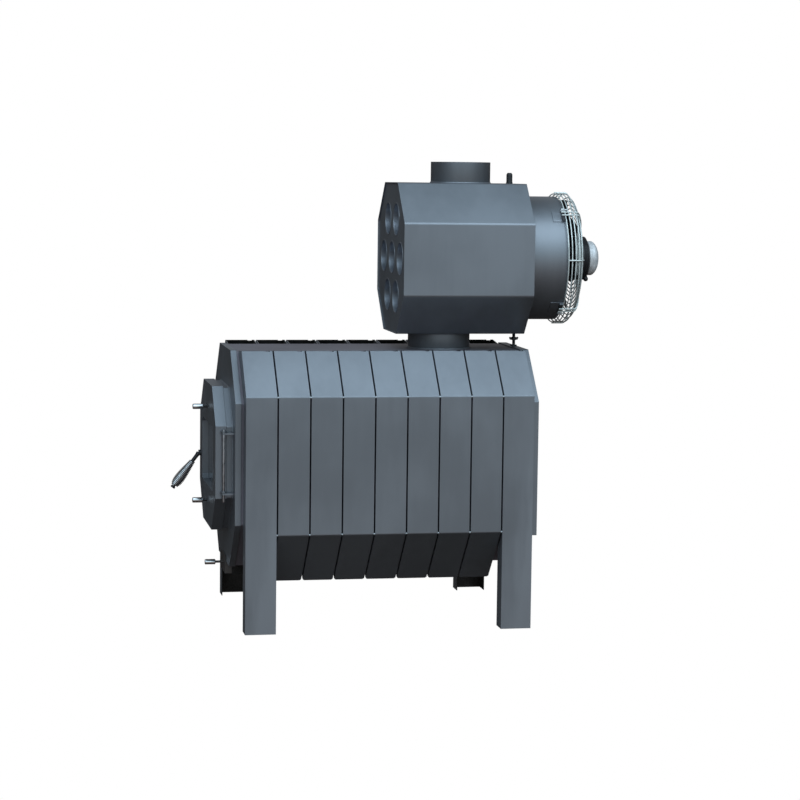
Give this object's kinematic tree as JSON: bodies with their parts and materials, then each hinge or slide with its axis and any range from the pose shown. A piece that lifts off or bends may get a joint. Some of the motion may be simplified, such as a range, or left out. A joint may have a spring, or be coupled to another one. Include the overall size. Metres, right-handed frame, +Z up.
{
  "type": "workshop stove",
  "caption": "Octagonal steel wood stove with folded side air channels, glazed door, air slides, ash drawer and a tube heat exchanger blown by a rear fan.",
  "frame": {"origin": "on the floor, under the middle of the stove's overall box", "axes": "+X to the right seen from the door, +Y from the door to the fan, +Z up"},
  "size_m": [0.76, 1.4325, 1.518],
  "materials": {
    "body_paint": "satin anthracite heat-resistant paint",
    "pipe_paint": "satin dark heat-resistant paint",
    "fire_iron": "matt, as cast and rolled",
    "lever_steel": "blackened steel",
    "rod_steel": "bright drawn bar",
    "knob_chrome": "polished plating",
    "guard_wire": "bright zinc-plated wire",
    "zinc_bolt": "zinc-plated",
    "black_fitting": "black satin",
    "motor_black": "black semi-matt",
    "cap_aluminium": "satin die-cast",
    "black_plastic": "matt moulded",
    "rope_seal": "braided glass-fibre rope",
    "window_glass": "smoked ceramic glass"
  },
  "bodies": {
    "stove": {"firebox_shell": "body_paint", "firebox_back": "body_paint", "front_panel": "body_paint", "rear_panel": "body_paint", "door_frame": "body_paint", "grate": "fire_iron", "smoke_baffle": "fire_iron", "firebox_pipe": "pipe_paint", "ash_box": "pipe_paint", "hinge_ears": "body_paint", "hinge_rod": "rod_steel", "channel_right_2": "body_paint", "channel_right_3": "body_paint", "channel_right_4": "body_paint", "channel_right_5": "body_paint", "channel_right_6": "body_paint", "channel_right_7": "body_paint", "channel_right_8": "body_paint", "channel_left_2": "body_paint", "channel_left_3": "body_paint", "channel_left_4": "body_paint", "channel_left_5": "body_paint", "channel_left_6": "body_paint", "channel_left_7": "body_paint", "channel_left_8": "body_paint", "leg_front_right": "body_paint", "leg_front_left": "body_paint", "leg_rear_right": "body_paint", "leg_rear_left": "body_paint", "exchanger_shell": "body_paint", "exchanger_front": "body_paint", "exchanger_rear": "body_paint", "heat_tubes": "pipe_paint", "riser_socket": "body_paint", "flue_spigot": "pipe_paint", "levelling_stud": "black_fitting", "sensor_sleeve": "black_plastic", "fan_duct": "body_paint", "guard_clips": "black_fitting", "guard_rings": "guard_wire", "guard_spokes": "guard_wire", "bolts": "zinc_bolt", "fan_motor": "motor_black", "motor_cap": "cap_aluminium", "cable_gland": "black_plastic"},
    "door": {"door_shell": "body_paint", "door_liner": "body_paint", "door_gasket": "rope_seal", "door_glass": "window_glass", "door_ears": "body_paint"},
    "latch": {"latch_lever": "lever_steel", "latch_grip": "knob_chrome"},
    "upper_air": {"upper_slide": "lever_steel", "upper_knob": "knob_chrome"},
    "lower_air": {"lower_slide": "lever_steel", "lower_knob": "knob_chrome"},
    "drawer": {"ash_drawer": "body_paint", "ash_knob": "knob_chrome"},
    "fan": {"fan_rotor": "motor_black", "fan_shaft": "rod_steel"}
  },
  "joints": [
    {"name": "door_hinge", "type": "hinge", "parent": "stove", "child": "door", "pos_m": [0.268, -0.58937, 0.542], "axis": [0, 0, 1], "range_deg": [0, 120]},
    {"name": "latch_turn", "type": "hinge", "parent": "door", "child": "latch", "pos_m": [-0.226, -0.61487, 0.516], "axis": [0, 1, 0], "range_deg": [0, 90]},
    {"name": "upper_air_slide", "type": "slide", "parent": "door", "child": "upper_air", "axis": [1, 0, 0], "range_m": [-0.026, 0]},
    {"name": "lower_air_slide", "type": "slide", "parent": "door", "child": "lower_air", "axis": [1, 0, 0], "range_m": [-0.026, 0]},
    {"name": "ash_drawer_slide", "type": "slide", "parent": "stove", "child": "drawer", "axis": [0, -1, 0], "range_m": [0, 0.28]},
    {"name": "fan_spin", "type": "hinge", "parent": "stove", "child": "fan", "pos_m": [0, 0.57113, 1.198], "axis": [0, 1, 0], "continuous": true}
  ]
}
